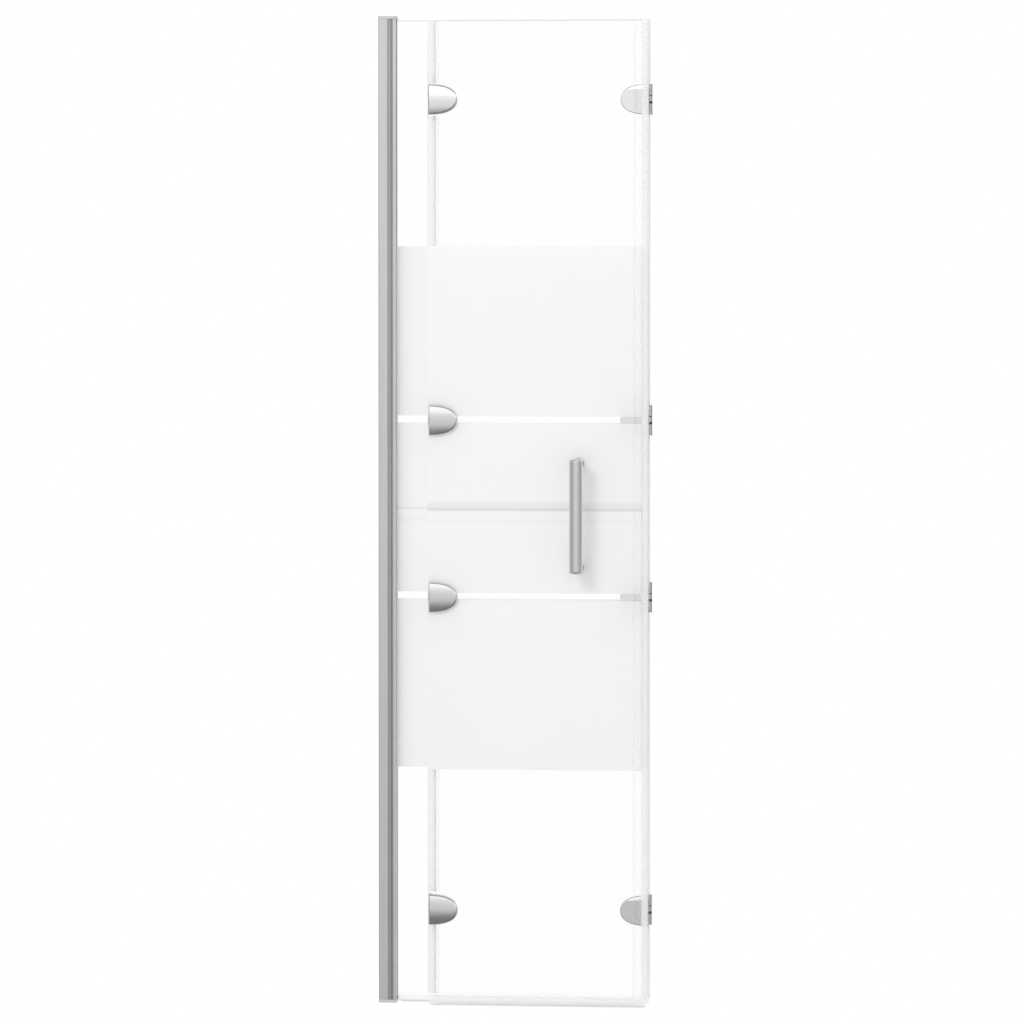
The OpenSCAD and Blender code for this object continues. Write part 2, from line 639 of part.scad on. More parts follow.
wall_channel();
glazing_profile();
top_end_cap();
bottom_end_cap();
clamp_screws();
screw_caps();
outer_glazing_gasket();
inner_glazing_gasket();
fixed_glass();
middle_glass();
last_glass();
fixed_bottom_seal();
middle_bottom_seal();
last_bottom_seal();
outer_fold_seal();
inner_fold_seal();
free_edge_seal();
outer_fixed_leaf(0);  // outer_fixed_leaf_1
outer_fixed_leaf(1);  // outer_fixed_leaf_2
outer_fixed_leaf(2);  // outer_fixed_leaf_3
outer_fixed_leaf(3);  // outer_fixed_leaf_4
outer_moving_leaf(0);  // outer_moving_leaf_1
outer_moving_leaf(1);  // outer_moving_leaf_2
outer_moving_leaf(2);  // outer_moving_leaf_3
outer_moving_leaf(3);  // outer_moving_leaf_4
inner_fixed_leaf(0);  // inner_fixed_leaf_1
inner_fixed_leaf(1);  // inner_fixed_leaf_2
inner_fixed_leaf(2);  // inner_fixed_leaf_3
inner_fixed_leaf(3);  // inner_fixed_leaf_4
inner_moving_leaf(0);  // inner_moving_leaf_1
inner_moving_leaf(1);  // inner_moving_leaf_2
inner_moving_leaf(2);  // inner_moving_leaf_3
inner_moving_leaf(3);  // inner_moving_leaf_4
fixed_clamp_plates();
middle_back_plate(0);  // middle_back_plate_1
middle_back_plate(1);  // middle_back_plate_2
middle_back_plate(2);  // middle_back_plate_3
middle_back_plate(3);  // middle_back_plate_4
middle_clamp_plates();
last_cover_plate(0);  // last_cover_plate_1
last_cover_plate(1);  // last_cover_plate_2
last_cover_plate(2);  // last_cover_plate_3
last_cover_plate(3);  // last_cover_plate_4
outer_hinge_pins();
inner_hinge_pins();
outer_hinge_washers();
inner_hinge_washers();
fixed_hinge_screws();
middle_hinge_screws();
last_hinge_screws();
fixed_hinge_gaskets();
middle_hinge_gaskets();
last_hinge_gaskets();
handle_bar();
upper_handle_post();
lower_handle_post();
handle_gaskets();
handle_screws();
handle_backing_discs();
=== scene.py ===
"""Looks of the folding bath screen.

Glass with its frosted field, milky seals, polished hinges and handle, and an aluminium wall profile.
"""

import json
import math

import bmesh
import bpy
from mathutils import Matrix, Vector

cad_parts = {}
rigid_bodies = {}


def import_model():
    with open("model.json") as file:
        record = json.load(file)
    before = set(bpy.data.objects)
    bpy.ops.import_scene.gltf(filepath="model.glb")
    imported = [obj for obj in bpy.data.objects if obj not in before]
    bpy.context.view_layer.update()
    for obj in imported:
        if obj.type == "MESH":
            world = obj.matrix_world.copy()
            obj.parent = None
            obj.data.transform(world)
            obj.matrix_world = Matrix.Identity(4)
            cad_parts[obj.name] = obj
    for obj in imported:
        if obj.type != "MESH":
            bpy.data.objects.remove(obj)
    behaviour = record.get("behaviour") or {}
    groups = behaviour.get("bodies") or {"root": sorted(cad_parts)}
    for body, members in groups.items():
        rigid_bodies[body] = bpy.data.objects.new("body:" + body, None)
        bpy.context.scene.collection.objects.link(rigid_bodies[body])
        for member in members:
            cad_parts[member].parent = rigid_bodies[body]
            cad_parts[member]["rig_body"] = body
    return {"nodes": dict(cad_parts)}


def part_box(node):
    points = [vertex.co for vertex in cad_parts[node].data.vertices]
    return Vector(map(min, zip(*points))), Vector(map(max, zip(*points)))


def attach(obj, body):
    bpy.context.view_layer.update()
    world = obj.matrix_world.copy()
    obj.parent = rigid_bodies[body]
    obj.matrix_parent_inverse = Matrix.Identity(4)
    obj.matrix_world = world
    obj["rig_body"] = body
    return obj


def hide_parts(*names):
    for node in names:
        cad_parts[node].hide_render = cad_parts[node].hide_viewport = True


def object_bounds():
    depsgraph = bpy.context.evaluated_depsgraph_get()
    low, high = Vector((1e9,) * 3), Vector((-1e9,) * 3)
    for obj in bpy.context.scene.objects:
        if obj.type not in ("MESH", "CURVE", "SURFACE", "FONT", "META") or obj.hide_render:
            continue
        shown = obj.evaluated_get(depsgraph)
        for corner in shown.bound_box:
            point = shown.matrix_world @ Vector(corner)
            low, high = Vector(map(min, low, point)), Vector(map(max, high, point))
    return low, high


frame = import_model()
cad_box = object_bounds()
NODES = sorted(frame["nodes"])
MM = 0.001

# Heights here count from the bath rim, which lies half a screen below the frame's origin
RIM = cad_box[0][2]
BATH_H = 0.58  # of the rim above the floor

FIELD_TOP, FIELD_FOOT = 1.0749, 0.3355  # the frosted field
FIELD_BANDS = 3
STRIPE_H = 0.0098  # of the clear stripes between its bands
BAND_H = (FIELD_TOP - FIELD_FOOT - (FIELD_BANDS - 1) * STRIPE_H) / FIELD_BANDS
SEAM_H = 0.7038  # the faint seam across the field's middle
BAND_TOP, BAND_FOOT = (14 * MM, 6 * MM), (5 * MM, 1 * MM)  # where the seam's soft band fades in, above and below it
LINE_HALF, LINE_EDGE = 0.5 * MM, 2.6 * MM  # the seam's line is full up to the first, and gone at the second
LOWER_DROP, LOWER_EDGE, LOWER_DEPTH = 17 * MM, 3 * MM, 0.15  # of a fainter line below the seam
CHAMFER = 0.8 * MM  # of the glass's ground edges
FACE_MIRROR, GRAZING_MIRROR = 0.008, 0.9  # how much clear glass mirrors straight on, and how much more at a slant

# The faces of a pane, in the order of its materials
CLEAR_FACE, FROST_FACE, EDGE_FACE, ARRIS_FACE, TOP_FACE, FOOT_FACE = range(6)

LEG_LIP = 2.5 * MM  # the denser lip at the end of a seal's clear legs
FOOT_LIP_H = 3 * MM  # height from the rim of the bottom seals' denser lips
FOOT_LEG_H = 9.4 * MM  # where their clear legs begin
DOME_DROP = 1.4 * MM  # of the hinge covers, at their upper and lower ends
HEAD_W = 4.7 * MM  # of the glazing profile's head
RIM_ROUND = 3.2 * MM  # of the hinge plates' rims
SLOPED_ROUND = 1.4 * MM  # of the sloped ones
STRAIGHT_ROUND = 0.7 * MM  # of their straight sides
FRONT_H = 1.9 * MM  # how deep a plate's CAD front reaches, with its slopes
RIM_H = 2 * MM  # how deep the rim of a front is looked for
SEATED_H = 1 * MM  # of a plate's foot, which stays flat on the glass
SLOPE_H, SLOPE = 7 * MM, 0.2  # the upper band of a sloped plate, and how steeply it leans back
DOME_STEPS = 16  # from the middle of a dome to its end
ROUND_STEPS = 6  # across a rounded rim
AROUND = 96  # steps of a full circle
SEAT = 0.05 * MM  # kept between a seal and the glass it sits on

# Widths of eased edges
PLATE_EASE = 1.2 * MM
LEAF_EASE = 0.5 * MM
CAP_EASE = 0.5 * MM
ROUND_EASE = 0.4 * MM  # of the handle's posts and discs
SEAL_EASE = 0.3 * MM
PROFILE_EASE = 0.25 * MM

# How near is the same place, and which edges count as sharp
SAME_VERT = 0.002 * MM
SAME_CUT = 0.001 * MM
SAME_SIDE = 0.01 * MM
SAME_PLANE = math.radians(0.6)
EASED_ANGLE = math.radians(38)
SHARP = 1.0  # in radians
ALONG = 0.99  # the part of a normal that points straight along an axis

FOLDS = {"outer": Vector((0.3864, -0.010)), "inner": Vector((0.0764, -0.030))}  # the hinges' axes, X and Y
KNUCKLE_REACH = 3.05 * MM  # from the axis, just past the knuckles, whose faces take the painted shade
BAR_ROUND = 3 * MM  # of the handle bar's ends
BAR_SKIN = 0.001 * MM  # the bar stays this far inside its CAD box
# Plates that take a brighter copy of the chrome, which paints a brighter reflection on them
PAINTED_BRIGHT_PLATES = ("last_cover_plate_1", "middle_back_plate_1", "middle_back_plate_2", "middle_back_plate_3")

DAYLIGHT = 0.82  # the even light from all round
FLOOR_R = 4.0
FADE_START, FADE_END = 1.2, 3.8  # how far out the floor turns white
MIDDLE_X = 0.2  # of the screen, over the floor's middle

CAMERA_AT = (1.257, -9.3, 0.382)
CAMERA_LOOKS_AT = (0.18897, 0, -0.00149)
CAMERA_LENS, SENSOR_W = 232.4, 36
CAMERA_REACH = 200
CLEAR_LAYERS = 32  # clear faces that a ray may pass


# ---- Node helpers ----

class Graph:
    """Shader nodes of one material or world, made by name."""

    def __init__(self, owner):
        owner.use_nodes = True
        self.tree = owner.node_tree
        self.tree.nodes.clear()

    def node(self, kind, **settings):
        made = self.tree.nodes.new("ShaderNode" + kind)
        for name, value in settings.items():
            setattr(made, name, value)
        return made

    def set(self, node, **inputs):
        """Sets inputs by name, with _ for a space. A socket as value is linked."""
        for name, value in inputs.items():
            self.plug(node.inputs[name.replace("_", " ")], value)
        return node

    def plug(self, socket, value):
        if isinstance(value, bpy.types.NodeSocket):
            self.tree.links.new(value, socket)
        else:
            socket.default_value = value

    def math(self, operation, *values):
        made = self.node("Math", operation=operation)
        for socket, value in zip(made.inputs, values):
            self.plug(socket, value)
        return made.outputs[0]

    def map(self, value, from_low, from_high, to_low, to_high, smooth=False):
        kind = "SMOOTHSTEP" if smooth else "LINEAR"
        made = self.node("MapRange", interpolation_type=kind)
        self.set(made, Value=value, From_Min=from_low, From_Max=from_high, To_Min=to_low, To_Max=to_high)
        return made.outputs["Result"]

    def mix(self, share, low, high):
        made = self.node("Mix", data_type="RGBA")
        for socket, value in zip((made.inputs[0], made.inputs[6], made.inputs[7]), (share, low, high)):
            self.plug(socket, value)
        return made.outputs[2]

    def blend(self, share, first, second):
        made = self.node("MixShader")
        for socket, value in zip(made.inputs, (share, first, second)):
            self.plug(socket, value)
        return made.outputs[0]

    def place(self):
        """The object's own coordinates, as separate X, Y and Z."""
        made = self.set(self.node("SeparateXYZ"), Vector=self.node("TexCoord").outputs["Object"])
        return made.outputs

    def noise(self, scale, stretch=(1, 1, 1), detail=2.0, rough=0.5):
        spread = self.set(self.node("Mapping"), Vector=self.node("TexCoord").outputs["Object"], Scale=stretch)
        made = self.set(self.node("TexNoise"), Vector=spread.outputs[0], Scale=scale, Detail=detail,
                        Roughness=rough)
        return made.outputs[0]

    def spread(self, noise, low, high):
        """Lays a noise's usual range over low to high."""
        return self.map(noise, 0.3, 0.7, low, high)

    def bump(self, height, strength, distance):
        made = self.set(self.node("Bump"), Height=height, Strength=strength, Distance=distance)
        return made.outputs[0]

    def finish(self, shader):
        out = self.node("OutputMaterial")
        self.tree.links.new(shader, out.inputs["Surface"])


def new_material(name):
    made = bpy.data.materials.new(name)
    return made, Graph(made)


def grey(value, green=0.0):
    return (value, value * (1 + green), value, 1.0)


# ---- Finishes ----

def drawn_aluminium(name, shade):
    """Anodised extrusion, with the drawing lines of the die along its length."""
    mat, g = new_material(name)
    lines = g.noise(900, stretch=(1, 1, 0.004), detail=3)
    cloud = g.noise(14, detail=2)
    body = g.set(g.node("BsdfPrincipled"), Metallic=1.0,
                 Base_Color=g.mix(cloud, grey(shade - 0.03), grey(shade + 0.02)),
                 Roughness=g.spread(lines, 0.24, 0.36), Normal=g.bump(lines, 0.12, 0.02 * MM))
    g.finish(body.outputs[0])
    return mat


def polished_chrome(name, rough, shade):
    """Plated castings: a soft mirror with faint polishing marks."""
    mat, g = new_material(name)
    marks = g.noise(260, detail=4, rough=0.6)
    swirl = g.noise(40, detail=2)
    body = g.set(g.node("BsdfPrincipled"), Metallic=1.0, Base_Color=g.mix(swirl, grey(shade - 0.02), grey(shade)),
                 Roughness=g.spread(marks, rough - 0.03, rough + 0.05),
                 Normal=g.bump(marks, 0.05, 0.01 * MM))
    g.finish(body.outputs[0])
    return mat


def plastic(name, shade, rough, grain=0.08):
    """Moulded plastic with a fine eroded grain."""
    mat, g = new_material(name)
    fine = g.noise(1800, detail=2)
    cloud = g.noise(30, detail=2)
    body = g.set(g.node("BsdfPrincipled"), Base_Color=g.mix(cloud, grey(shade * 0.95), grey(shade)),
                 Roughness=g.spread(fine, rough - 0.05, rough + 0.05),
                 Normal=g.bump(fine, grain, 0.05 * MM))
    g.finish(body.outputs[0])
    return mat


def soft_pvc(name, shade, cover):
    """Soft see-through PVC, faintly cloudy. cover is how much one face hides."""
    mat, g = new_material(name)
    fine = g.noise(400, detail=2)
    cloud = g.noise(9, detail=2)
    body = g.set(g.node("BsdfPrincipled"), Base_Color=g.mix(cloud, grey(shade - 0.01), grey(shade)),
                 Roughness=g.spread(fine, 0.5, 0.55), Specular_IOR_Level=0.25, Alpha=cover)
    g.finish(body.outputs[0])
    return mat


def clear_film():
    """The thin clear sheets between metal and glass."""
    mat, g = new_material("clear_film")
    cloud = g.noise(60, detail=2)
    body = g.set(g.node("BsdfPrincipled"), Base_Color=grey(0.84), Roughness=g.spread(cloud, 0.2, 0.35), Alpha=0.4)
    g.finish(body.outputs[0])
    return mat


def clear_glass():
    """A clear face: what is behind shows straight through, under a reflection that grows at a slant."""
    mat, g = new_material("clear_glass")
    facing = g.set(g.node("LayerWeight"), Blend=0.5).outputs["Facing"]
    share = g.math("MULTIPLY_ADD", g.math("POWER", facing, 5.0), GRAZING_MIRROR, FACE_MIRROR)
    streak = g.noise(3, stretch=(1, 1, 0.5), detail=2)
    through = g.set(g.node("BsdfTransparent"), Color=(0.9995, 1.0, 0.9997, 1))
    mirror = g.set(g.node("BsdfAnisotropic"), Color=grey(1.0), Roughness=g.spread(streak, 0.01, 0.03))
    g.finish(g.blend(share, through.outputs[0], mirror.outputs[0]))
    return mat


def ground_edge(name, cover, shade):
    """The glass's ground and polished edge, pale green-grey. cover is how much one face hides."""
    mat, g = new_material(name)
    grain = g.noise(90, detail=2)
    body = g.set(g.node("BsdfPrincipled"),
                 Base_Color=g.mix(grain, grey(shade - 0.02, green=0.05), grey(shade, green=0.05)),
                 Roughness=g.spread(grain, 0.35, 0.45), Alpha=cover)
    g.finish(body.outputs[0])
    return mat


def frosted_face(name, shade, band_depth, line_depth, thinness):
    """The printed frost: a fine even white that lets light through, with a faint seam across its middle.

    The depths are how strongly a soft band above the seam and its line show. thinness is
    the share of the light that goes through.
    """
    mat, g = new_material(name)
    high = g.place()["Z"]
    seam = RIM + SEAM_H

    def line_at(height, half, edge, depth):
        """A line across the field that is full within half of its height and gone at edge."""
        off = g.math("ABSOLUTE", g.math("SUBTRACT", high, height))
        return g.map(off, half, edge, depth, 0, smooth=True)

    band_top = g.map(high, seam + BAND_TOP[0], seam + BAND_TOP[1], 0, band_depth, smooth=True)
    band_foot = g.map(high, seam - BAND_FOOT[0], seam - BAND_FOOT[1], 0, 1, smooth=True)
    band = g.math("MULTIPLY", band_top, band_foot)
    line = line_at(seam, LINE_HALF, LINE_EDGE, line_depth)
    lower = line_at(seam - LOWER_DROP, 0, LOWER_EDGE, LOWER_DEPTH)
    mark = g.math("MAXIMUM", g.math("MAXIMUM", band, line), lower)
    fine = g.noise(2500, detail=2)
    cloud = g.noise(7, detail=3)
    white = g.mix(mark, g.mix(cloud, grey(shade - 0.01), grey(shade)), (0.72, 0.715, 0.71, 1))
    body = g.set(g.node("BsdfPrincipled"), Base_Color=white, Roughness=g.spread(fine, 0.55, 0.7),
                 Normal=g.bump(fine, 0.15, 0.02 * MM))
    through = g.set(g.node("BsdfTranslucent"), Color=white)
    g.finish(g.blend(thinness, body.outputs[0], through.outputs[0]))
    return mat


ALUMINIUM = drawn_aluminium("bright_aluminium", shade=0.74)
# A darker copy of the aluminium, which paints the shade in the glazing profile's grooves
GROOVE_PAINTED_SHADE = drawn_aluminium("groove_painted_shade", shade=0.47)
CHROME = polished_chrome("polished_chrome", rough=0.1, shade=0.77)
# A brighter copy of the chrome, which paints a brighter reflection on some plates
CHROME_PAINTED_BRIGHT = polished_chrome("chrome_painted_bright", rough=0.1, shade=0.94)
# Lighter and darker copies of the chrome, which paint a brighter reflection on the leaves and shade on their knuckles
LEAF_PAINTED_BRIGHT = polished_chrome("leaf_painted_bright", rough=0.16, shade=0.95)
KNUCKLE_PAINTED_SHADE = polished_chrome("knuckle_painted_shade", rough=0.16, shade=0.62)
SATIN = polished_chrome("satin_chrome", rough=0.17, shade=0.79)
# A darker copy of the satin chrome, which paints the shade on the handle's posts
POST_PAINTED_SHADE = polished_chrome("satin_chrome_painted_shade", rough=0.2, shade=0.5)
STEEL = polished_chrome("stainless_steel", rough=0.28, shade=0.6)
CAP = plastic("silver_grey_plastic", shade=0.56, rough=0.3)
BLACK = plastic("black_plastic", shade=0.022, rough=0.4)
RUBBER = plastic("grey_rubber", shade=0.3, rough=0.6, grain=0.15)
MILKY = soft_pvc("milky_pvc", shade=0.86, cover=0.4)
LEG = soft_pvc("clear_pvc", shade=0.7, cover=0.012)
LEG_END = soft_pvc("clear_pvc_lip", shade=0.62, cover=0.045)
BULB = soft_pvc("milky_pvc_bulb", shade=0.94, cover=0.4)
FOOT = soft_pvc("milky_pvc_foot", shade=0.93, cover=0.3)
FOOT_LIP = soft_pvc("milky_pvc_foot_lip", shade=0.72, cover=0.4)
FILM = clear_film()
CLEAR = clear_glass()
EDGE = ground_edge("ground_glass_edge", cover=0.4, shade=0.8)
# A denser, darker copy of the edge for the rear pane, which paints the shade on its edges
REAR_EDGE_PAINTED_SHADE = ground_edge("rear_glass_edge_painted_shade", cover=0.9, shade=0.72)
ARRIS = ground_edge("polished_glass_arris", cover=0.2, shade=0.92)
# A denser, darker copy of the arris for the rear pane, which paints the shade on its arrises
REAR_ARRIS_PAINTED_SHADE = ground_edge("rear_glass_arris_painted_shade", cover=0.85, shade=0.64)
# A denser copy of the arris for the panes' top faces, which paints the glass's inner reflection along their top edge
TOP_ARRIS_PAINTED_REFLECTION = ground_edge("glass_top_arris_painted_reflection", cover=0.85, shade=0.9)
FROST = frosted_face("frosted_face", shade=0.94, band_depth=0.38, line_depth=0.95, thinness=0.3)
# Whiter copies of the frost for the two rear panes, which paint light over the shade that falls on them between the
# panes
MIDDLE_FROST_PAINTED_LIGHT = frosted_face("middle_frosted_face_painted_light", shade=0.985, band_depth=0.0, line_depth=0.35, thinness=0.7)
FIXED_FROST_PAINTED_LIGHT = frosted_face("fixed_frosted_face_painted_light", shade=0.965, band_depth=0.0, line_depth=0.35, thinness=0.75)


# ---- Pieces ----

def stored(bm, name, materials, node, smooth=True):
    """Makes the object of a finished piece that stands for a CAD node."""
    mesh = bpy.data.meshes.new(name)
    bm.to_mesh(mesh)
    bm.free()
    for material in materials:
        mesh.materials.append(material)
    for face in mesh.polygons:
        face.use_smooth = smooth
    piece = bpy.data.objects.new(name, mesh)
    bpy.context.scene.collection.objects.link(piece)
    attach(piece, frame["nodes"][node]["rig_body"])
    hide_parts(node)
    return piece


def merged_copy(node, whole=True):
    """The node's own shape as a clean mesh, with its flat faces whole, or else in triangles."""
    bm = bmesh.new()
    bm.from_mesh(frame["nodes"][node].data)
    bmesh.ops.remove_doubles(bm, verts=bm.verts, dist=SAME_VERT)
    if whole:
        bmesh.ops.dissolve_limit(bm, angle_limit=SAME_PLANE, verts=bm.verts, edges=bm.edges)
    return bm


def rounded(bm, rim, width, segments):
    bmesh.ops.bevel(bm, geom=rim, offset=width, segments=segments, profile=0.5, affect="EDGES", material=-1,
                    clamp_overlap=False)


def eased(node, material, width, segments=2):
    """The node's shape with its sharp edges eased."""
    return ease(stored(merged_copy(node), node + "_finished", [material], node), width, segments)


def eased_outside(node, material, width, segments):
    """Flat pieces with holes, eased round their bath side.

    Their flats stay in triangles, because a whole face round a hole may fold over.
    """
    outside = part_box(node)[1].y
    bm = merged_copy(node, whole=False)
    rim = [e for e in bm.edges if e.calc_face_angle(0) > SHARP and all(v.co.y > outside - SAME_SIDE for v in e.verts)]
    rounded(bm, rim, width, segments)
    return flats_kept(stored(bm, node + "_finished", [material], node))


def ease(piece, width, segments=2):
    """Eases a piece's sharp edges with modifiers."""
    bevel = piece.modifiers.new("eased_edges", "BEVEL")
    bevel.width = width
    bevel.segments = segments
    bevel.limit_method = "ANGLE"
    bevel.angle_limit = EASED_ANGLE
    return flats_kept(piece)


def flats_kept(piece):
    """Shades the large faces flat and lets the small ones between them turn smoothly."""
    flats = piece.modifiers.new("flats_kept", "WEIGHTED_NORMAL")
    flats.mode = "FACE_AREA"
    flats.weight = 100
    flats.thresh = 0.001
    return piece


def cuts(bm, heights):
    """Cuts new edges level across the faces, at heights in the frame."""
    for height in heights:
        cut(bm, (0, 0, height), (0, 0, 1))


def upright_cuts(bm, places):
    """Cuts new edges upright across the faces, at places along X."""
    for place in places:
        cut(bm, (place, 0, 0), (1, 0, 0))


def cut(bm, point, across):
    bmesh.ops.bisect_plane(bm, geom=bm.verts[:] + bm.edges[:] + bm.faces[:], dist=SAME_CUT,
                           plane_co=point, plane_no=across)


def round_front(bm, low, straight_x, oval_round):
    """Rounds the outline of a hinge plate's front, widely on its oval and a little on its straight side."""
    def on_straight(edge):
        return all(abs(v.co.x - straight_x) < 2 * SAME_SIDE for v in edge.verts)

    for straight, width in ((False, oval_round), (True, STRAIGHT_ROUND)):
        rim = [e for e in bm.edges if all(v.co.y < low.y + RIM_H for v in e.verts)
               and e.calc_face_angle(0) > SHARP and on_straight(e) == straight]
        rounded(bm, rim, width, ROUND_STEPS)


def bent_cover(node, material, straight_x, oval_round, heights, drop):
    """A hinge cover: its front laid flat, eased all round, and then bent back smoothly.

    drop tells how far the front lies back at a height, and heights are where it turns.
    """
    low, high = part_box(node)
    bm = merged_copy(node)
    for vert in bm.verts:
        if vert.co.y < low.y + FRONT_H:
            vert.co.y = low.y
    bmesh.ops.dissolve_limit(bm, angle_limit=SAME_PLANE, verts=bm.verts, edges=bm.edges)
    round_front(bm, low, straight_x, oval_round)
    cuts(bm, heights)
    for vert in bm.verts:
        if vert.co.y < high.y - SEATED_H:
            vert.co.y += drop(vert.co.z)
    return flats_kept(stored(bm, node + "_finished", [material], node))


def domed_cover(node, material):
    """A cover that bends back evenly towards its upper and lower ends."""
    low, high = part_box(node)
    middle = (low.z + high.z) / 2
    half = high.z - middle
    radius = (half * half + DOME_DROP * DOME_DROP) / (2 * DOME_DROP)
    heights = [middle + i * half / DOME_STEPS for i in range(1 - DOME_STEPS, DOME_STEPS)]
    return bent_cover(node, material, low.x, RIM_ROUND, heights,
                      lambda z: radius - math.sqrt(radius * radius - (z - middle) ** 2))


def sloped_cover(node, material):
    """A flat cover with an upper band that leans back."""
    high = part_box(node)[1]
    line = high.z - SLOPE_H
    return bent_cover(node, material, high.x, SLOPED_ROUND, [line], lambda z: max(0, z - line) * SLOPE)


def glazing_profile():
    """The extrusion on the glass, bright on its head and at its ends, and darker on the rest, where a darker copy of
    the aluminium paints the shade of its grooves.
    """
    head_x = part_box("glazing_profile")[1].x - HEAD_W
    bm = merged_copy("glazing_profile")
    bm.normal_update()
    for face in bm.faces:
        # Faces off the head and off the ends take the painted groove shade
        if abs(face.normal.z) < 0.5 and face.calc_center_median().x < head_x:
            face.material_index = 1
    return ease(stored(bm, "glazing_profile_finished", [ALUMINIUM, GROOVE_PAINTED_SHADE], "glazing_profile"), PROFILE_EASE)


def clear_of_glass(bm, pane):
    """Lifts a seal's inner faces a hair off its pane, so that no two faces lie in one plane."""
    low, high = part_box(pane)
    for vert in bm.verts:
        for i in range(3):
            for side, way in ((low, -1), (high, 1)):
                if abs(vert.co[i] - side[i]) < SAME_SIDE:
                    vert.co[i] += way * SEAT


def edge_seal(node, pane, way, body):
    """A seal on a pane's upright edge: milky beyond the glass, with clear legs on the glass.

    way is 1 if the legs point to +X. body is the milky part's material.
    """
    low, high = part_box(node)
    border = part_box(pane)[0].x if way > 0 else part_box(pane)[1].x
    lip = (low.x if way < 0 else high.x) - way * LEG_LIP
    bm = merged_copy(node)
    upright_cuts(bm, [border, lip])
    for face in bm.faces:
        across = face.calc_center_median().x
        if (across - lip) * way > 0:
            face.material_index = 2
        elif (across - border) * way > 0:
            face.material_index = 1
    clear_of_glass(bm, pane)
    return ease(stored(bm, node + "_finished", [body, LEG, LEG_END], node, smooth=False), SEAL_EASE)


def bottom_seal(node, pane, first_x, last_x):
    """A seal under a pane, denser along its lower lips and with clear legs on the glass.

    The legs are clear only from first_x to last_x, and milky where they meet the upright seals.
    """
    bm = merged_copy(node)
    cuts(bm, [RIM + FOOT_LIP_H, RIM + FOOT_LEG_H])
    upright_cuts(bm, [first_x, last_x])
    for face in bm.faces:
        middle = face.calc_center_median()
        if middle.z - RIM < FOOT_LIP_H:
            face.material_index = 1
        elif middle.z - RIM > FOOT_LEG_H and first_x < middle.x < last_x:
            face.material_index = 2
    clear_of_glass(bm, pane)
    return ease(stored(bm, node + "_finished", [FOOT, FOOT_LIP, LEG], node, smooth=False), SEAL_EASE)


def hinge_leaf(node):
    """A leaf with its knuckles: a darker chrome paints shade on the knuckles, and a brighter one paints a brighter
    reflection on its flat part.
    """
    axis = FOLDS[node.split("_")[0]]
    bm = merged_copy(node)
    for face in bm.faces:
        if all((v.co.xy - axis).length < KNUCKLE_REACH for v in face.verts):
            face.material_index = 1
    return ease(stored(bm, node + "_finished", [LEAF_PAINTED_BRIGHT, KNUCKLE_PAINTED_SHADE], node), LEAF_EASE, segments=3)


def in_field(height):
    """True if a height from the rim lies in the frosted field, off its clear stripes."""
    up = height - FIELD_FOOT
    return 0 < up < FIELD_TOP - FIELD_FOOT and up % (BAND_H + STRIPE_H) < BAND_H


def field_lines():
    """The heights from the rim at which the field's bands begin and end."""
    feet = [FIELD_FOOT + i * (BAND_H + STRIPE_H) for i in range(FIELD_BANDS)]
    return feet + [foot + BAND_H for foot in feet]


def glass_pane(node, frost, edge, arris, top_arris):
    """A pane with a chamfered ground edge and frost on its room side. Its foot sits unseen in a seal.

    What is on no other face stays CLEAR_FACE, which is 0.
    """
    low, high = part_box(node)
    bm = merged_copy(node)
    rim = [e for e in bm.edges if on_border(e, low, high)]
    bmesh.ops.bevel(bm, geom=rim, offset=CHAMFER, segments=1, profile=0.5, affect="EDGES", material=-1)
    bmesh.ops.triangulate(bm, faces=bm.faces)
    cuts(bm, [RIM + line for line in field_lines()])
    bm.normal_update()
    for face in bm.faces:
        height = face.calc_center_median().z
        if abs(face.normal.y) < ALONG and height < low.z + CHAMFER:
            face.material_index = FOOT_FACE
        elif 0.3 < face.normal.z < ALONG:
            face.material_index = TOP_FACE
        elif face.normal.y < -0.5 and in_field(height - RIM):
            face.material_index = FROST_FACE
        elif abs(face.normal.y) < 0.5:
            face.material_index = EDGE_FACE
        elif abs(face.normal.y) < ALONG:
            face.material_index = ARRIS_FACE
    return stored(bm, node + "_finished", [CLEAR, frost, edge, arris, top_arris, LEG], node, smooth=False)


def on_border(edge, low, high):
    """True for the long edges of a pane's outline, on its front and back faces."""
    def beside(i):
        return all(min(abs(v.co[i] - low[i]), abs(v.co[i] - high[i])) < SAME_SIDE for v in edge.verts)

    along = (edge.verts[1].co - edge.verts[0].co) / edge.calc_length()
    in_plane = abs(along.y) < 1 - ALONG
    return beside(1) and in_plane and (beside(0) or beside(2)) and edge.calc_face_angle(0) > SHARP


def handle_bar():
    """The round bar, spun about its axis, with its ends rounded over."""
    low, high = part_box("handle_bar")
    radius = (high.x - low.x) / 2 - BAR_SKIN
    axis = (low + high) / 2
    outline = [Vector((0, 0, low.z))]
    for i in range(ROUND_STEPS + 1):
        turn = math.pi / 2 * i / ROUND_STEPS
        outline.append(Vector((radius - BAR_ROUND + BAR_ROUND * math.sin(turn), 0,
                               low.z + BAR_ROUND - BAR_ROUND * math.cos(turn))))
    outline += [Vector((p.x, 0, low.z + high.z - p.z)) for p in reversed(outline)]
    bm = bmesh.new()
    rim = [bm.verts.new((axis.x + p.x, axis.y, p.z)) for p in outline]
    edges = [bm.edges.new(pair) for pair in zip(rim, rim[1:])]
    bmesh.ops.spin(bm, geom=rim + edges, cent=axis, axis=(0, 0, 1), angle=math.tau, steps=AROUND, use_merge=True)
    bmesh.ops.remove_doubles(bm, verts=bm.verts, dist=SAME_VERT)
    bmesh.ops.recalc_face_normals(bm, faces=bm.faces)
    return flats_kept(stored(bm, "handle_bar_finished", [SATIN], "handle_bar"))


